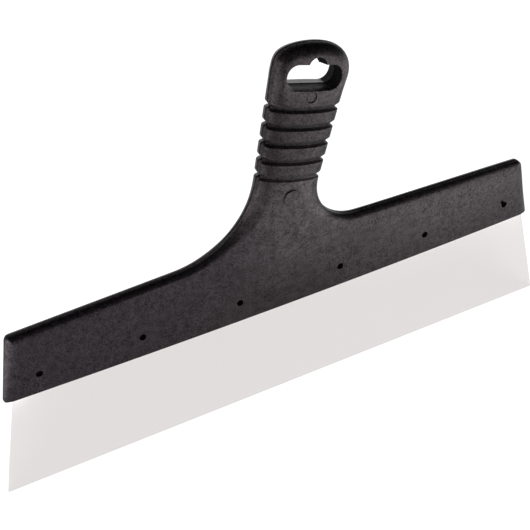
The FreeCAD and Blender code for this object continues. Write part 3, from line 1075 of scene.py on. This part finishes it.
def coarse_shaded_plastic():
    """The spark-eroded texture inside the holes, with a darker colour and weaker reflection that
    are painted shade.
    """
    n = Nodes("eroded_polypropylene_painted_shade")
    s = n.shader
    grain = n.noise(1.4, 2.0, 0.6)
    # the dark colour and the low IOR paint the shade inside the holes; the bump is the texture
    colour = n.blend(n.span(grain, 0.45, 0.7, 0.0, 1.0), COARSE_SHADE_DARK, COARSE_SHADE_LIGHT)
    n.link(colour, s.inputs["Base Color"])
    n.link(n.span(grain, 0.3, 0.7, 0.5, 0.8), s.inputs["Roughness"])
    s.inputs["IOR"].default_value = 1.1
    n.link(n.bump(grain, 0.9, 0.35), s.inputs["Normal"])
    return n.material


def steel():
    """Stainless strip with a fine rolled grain along the blade."""
    n = Nodes("rolled_stainless")
    s = n.shader
    s.inputs["Metallic"].default_value = 1.0
    grain = n.noise(2.2, 3.0, 0.6, 0.0, n.stretched((0.015, 1.0, 1.0)))
    cloud = n.span(n.noise(0.02, 2.0, 0.5), 0.3, 0.7, 0.0, 0.3)
    colour = n.blend(cloud, n.blend(grain, STEEL_DARK, STEEL_LIGHT), STEEL_CLOUD)
    n.link(colour, s.inputs["Base Color"])
    n.link(n.span(grain, 0.3, 0.7, 0.15, 0.20), s.inputs["Roughness"])
    n.link(n.bump(grain, 0.04, 0.01), s.inputs["Normal"])
    return n.material


plastic_material = plastic()
steel_material = steel()
handle.data.materials.append(plastic_material)
handle.data.materials.append(coarse_shaded_plastic())
blade.data.materials.append(steel_material)
for index in coarse_shaded_faces:
    handle.data.polygons[index].material_index = 1
for node, material in (("handle", plastic_material), ("blade", steel_material)):
    for slot_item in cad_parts[node].material_slots:
        slot_item.link = "OBJECT"
        slot_item.material = material


# ---- floor, light and camera: metres ----

FLOOR_REACH = 20.0

# The floor glows an even white, and these zones add to it. Each pair of numbers is the range
# over which a zone's edge fades.
FRONT_EDGE = (-0.130, -0.070)    # Y: the front zones end this far ahead of the blade
FRONT_LIGHT = 1.62
RIGHT_EDGE = (0.10, 0.24)        # X - Y / 2: the front zone is brighter on its right
RIGHT_LIGHT = 5.0
DIM_BAND = -0.222                # Y: a band across the front zone that keeps less of its light
DIM_BAND_WIDTH = 0.16
DIM_BAND_SHARE = 0.34
LEFT_EDGE = (-0.20, -0.14)       # X
LEFT_LIGHT = 1.7
FAR_LEFT_EDGE = (-0.27, -0.205)  # X
FAR_LEFT_END = (0.0, 0.06)       # Y
FAR_LEFT_LIGHT = 4.2

# The added light is held back from a strip in front, from a spot near the left end and
# from the floor that is further ahead than LIGHT_END.
STRIP_EDGE = (-0.23, -0.17)      # Y + X / 2
STRIP_LEFT = (-0.20, -0.14)      # X
STRIP_RIGHT = (-0.07, 0.01)
SPOT = (-0.215, -0.105, 0.0)
SPOT_EDGE = (0.02, 0.055)
LIGHT_END = (-0.7, -0.4)         # Y

# The world's lights, as ranges of the direction's X, Y or Z.
BEHIND_EDGE = (0.30, 0.74)
BEHIND_LIGHT = 1.15
BEHIND_LEFT = (0.12, 0.42)
BEHIND_LEFT_GAIN = 1.9
BESIDE_EDGE = (-0.85, -0.60)
BESIDE_TOP = (0.20, 0.45)
BESIDE_LIGHT = 4.0

CAMERA_AZIMUTH = math.radians(-24.84)
CAMERA_ELEVATION = math.radians(37.60)
CAMERA_ROLL = math.radians(-3.76)
CAMERA_TARGET = (-0.0126, 0.0, 0.0913)
CAMERA_DISTANCE = 0.6107
CAMERA_LENS = 76.54
CAMERA_SENSOR = 36.0


def floor_light(n):
    """The floor's glow at each place."""
    split = n.add("ShaderNodeSeparateXYZ", {0: n.place})
    x, y = split.outputs["X"], split.outputs["Y"]
    front = n.span(y, *FRONT_EDGE, 1.0, 0.0)
    slant = n.math("SUBTRACT", x, n.math("MULTIPLY", y, 0.5))
    ahead = n.math("ADD", n.span(slant, *RIGHT_EDGE, 0.0, RIGHT_LIGHT), FRONT_LIGHT)
    from_band = n.math("ABSOLUTE", n.math("SUBTRACT", y, DIM_BAND))
    ahead = n.product(ahead, n.span(from_band, 0.0, DIM_BAND_WIDTH, DIM_BAND_SHARE, 1.0), front)
    left = n.product(n.span(x, *LEFT_EDGE, LEFT_LIGHT, 0.0), front)
    far_left = n.span(x, *FAR_LEFT_EDGE, FAR_LEFT_LIGHT, 0.0)
    far_left = n.product(far_left, n.span(y, *FAR_LEFT_END, 1.0, 0.0))
    light = n.math("ADD", ahead, n.math("MAXIMUM", left, far_left))

    towards = n.math("ADD", y, n.math("MULTIPLY", x, 0.5))
    right_of_strip = n.span(x, *STRIP_RIGHT, 0.0, 1.0)
    beside = n.math("MAXIMUM", right_of_strip, n.span(x, *STRIP_LEFT, 1.0, 0.0))
    strip = n.math("MAXIMUM", n.span(towards, *STRIP_EDGE, 0.0, 1.0), beside)
    spot = n.away_from(SPOT, *SPOT_EDGE, 0.0, 1.0)
    light = n.product(light, strip, spot, n.span(y, *LIGHT_END, 0.0, 1.0))
    return n.math("ADD", light, 1.0)


def pale_floor():
    n = Nodes("pale_floor")
    s = n.shader
    s.inputs["Base Color"].default_value = (0.3, 0.3, 0.3, 1.0)
    s.inputs["Roughness"].default_value = 0.9
    s.inputs["Specular IOR Level"].default_value = 0.0
    s.inputs["Emission Color"].default_value = WHITE
    n.link(floor_light(n), s.inputs["Emission Strength"])
    return n.material


def add_floor():
    r = FLOOR_REACH
    mesh = bpy.data.meshes.new("floor")
    mesh.from_pydata([(-r, -r, 0.0), (r, -r, 0.0), (r, r, 0.0), (-r, r, 0.0)], [], [(0, 1, 2, 3)])
    mesh.materials.append(pale_floor())
    floor = bpy.data.objects.new("floor", mesh)
    bpy.context.scene.collection.objects.link(floor)


add_floor()


def studio():
    """Bright behind, a long soft light low on the left, dark overhead and in front."""
    world = bpy.data.worlds.new("studio")
    bpy.context.scene.world = world
    world.use_nodes = True
    tree = world.node_tree
    back = tree.nodes["Background"]
    place = tree.nodes.new("ShaderNodeTexCoord")
    split = tree.nodes.new("ShaderNodeSeparateXYZ")
    tree.links.new(place.outputs["Generated"], split.inputs[0])

    def ramp(axis, low, high, first, last):
        node = tree.nodes.new("ShaderNodeMapRange")
        node.interpolation_type = "SMOOTHSTEP"
        ends = {"From Min": low, "From Max": high, "To Min": first, "To Max": last}
        for key, value in ends.items():
            node.inputs[key].default_value = value
        tree.links.new(split.outputs[axis], node.inputs["Value"])
        return node.outputs[0]

    def join(operation, one, two):
        node = tree.nodes.new("ShaderNodeMath")
        node.operation = operation
        tree.links.new(one, node.inputs[0])
        tree.links.new(two, node.inputs[1])
        return node.outputs[0]

    behind = ramp("Y", *BEHIND_EDGE, 0.0, BEHIND_LIGHT)
    behind = join("MULTIPLY", behind, ramp("X", *BEHIND_LEFT, BEHIND_LEFT_GAIN, 1.0))
    beside = ramp("X", *BESIDE_EDGE, BESIDE_LIGHT, 0.0)
    beside = join("MULTIPLY", beside, ramp("Z", *BESIDE_TOP, 1.0, 0.0))
    tree.links.new(join("MAXIMUM", behind, beside), back.inputs["Strength"])
    back.inputs["Color"].default_value = WHITE


studio()


def add_camera():
    """The camera stands up and to the left of the front, turned a little about its own axis."""
    out = math.cos(CAMERA_ELEVATION)
    way = Vector((math.sin(CAMERA_AZIMUTH) * out, -math.cos(CAMERA_AZIMUTH) * out,
                  math.sin(CAMERA_ELEVATION)))
    data = bpy.data.cameras.new("camera")
    data.lens = CAMERA_LENS
    data.sensor_width = CAMERA_SENSOR
    camera = bpy.data.objects.new("camera", data)
    turn = (-way).to_track_quat("-Z", "Y").to_matrix() @ Matrix.Rotation(CAMERA_ROLL, 3, "Z")
    place = Vector(CAMERA_TARGET) + way * CAMERA_DISTANCE
    camera.matrix_world = Matrix.Translation(place) @ turn.to_4x4()
    bpy.context.scene.collection.objects.link(camera)
    bpy.context.scene.camera = camera


add_camera()
bpy.context.scene.view_settings.view_transform = "Standard"
